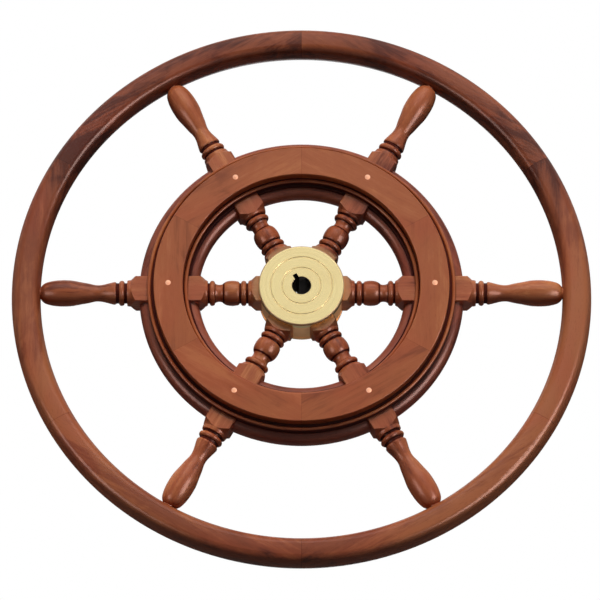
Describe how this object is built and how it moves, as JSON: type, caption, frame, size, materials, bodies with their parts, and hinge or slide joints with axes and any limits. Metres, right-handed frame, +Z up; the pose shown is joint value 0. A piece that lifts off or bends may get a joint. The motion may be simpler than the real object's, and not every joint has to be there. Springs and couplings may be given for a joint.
{
  "type": "boat steering wheel",
  "caption": "Wooden boat steering wheel with turned spokes, a moulded ring, a round outer rim and a keyed brass hub.",
  "frame": {"origin": "centre of the wheel on the bore's axis, half way through the spokes and the rim", "axes": "+Y along the bore, from the front plate to the back, where the shaft leaves; +Z up; +X to the right as the helmsman sees the front; the keyway points along the spoke up and to the left"},
  "size_m": [0.5998, 0.059, 0.6],
  "materials": {
    "rim_mahogany": "satin varnish over reddish mahogany, grain along the rim",
    "ring_mahogany": "satin varnish over reddish mahogany, grain along each felloe",
    "facing_mahogany": "satin varnish over orange-brown mahogany, grain across each spoke",
    "spoke_mahogany": "satin varnish over reddish mahogany, grain along the spoke",
    "brass": "polished pale brass with fine turning marks"
  },
  "bodies": {
    "root": {"rim_segment_1": "rim_mahogany", "rim_segment_2": "rim_mahogany", "rim_segment_3": "rim_mahogany", "rim_segment_4": "rim_mahogany", "rim_segment_5": "rim_mahogany", "rim_segment_6": "rim_mahogany", "spoke_1": "spoke_mahogany", "spoke_2": "spoke_mahogany", "spoke_3": "spoke_mahogany", "spoke_4": "spoke_mahogany", "spoke_5": "spoke_mahogany", "spoke_6": "spoke_mahogany", "felloe_1": "ring_mahogany", "felloe_2": "ring_mahogany", "felloe_3": "ring_mahogany", "felloe_4": "ring_mahogany", "felloe_5": "ring_mahogany", "felloe_6": "ring_mahogany", "facing_front_1": "facing_mahogany", "facing_front_2": "facing_mahogany", "facing_front_3": "facing_mahogany", "facing_front_4": "facing_mahogany", "facing_front_5": "facing_mahogany", "facing_front_6": "facing_mahogany", "facing_back_1": "facing_mahogany", "facing_back_2": "facing_mahogany", "facing_back_3": "facing_mahogany", "facing_back_4": "facing_mahogany", "facing_back_5": "facing_mahogany", "facing_back_6": "facing_mahogany", "ring_pins": "brass", "hub_body": "brass", "hub_front_plate": "brass", "hub_screws": "brass"}
  },
  "joints": []
}
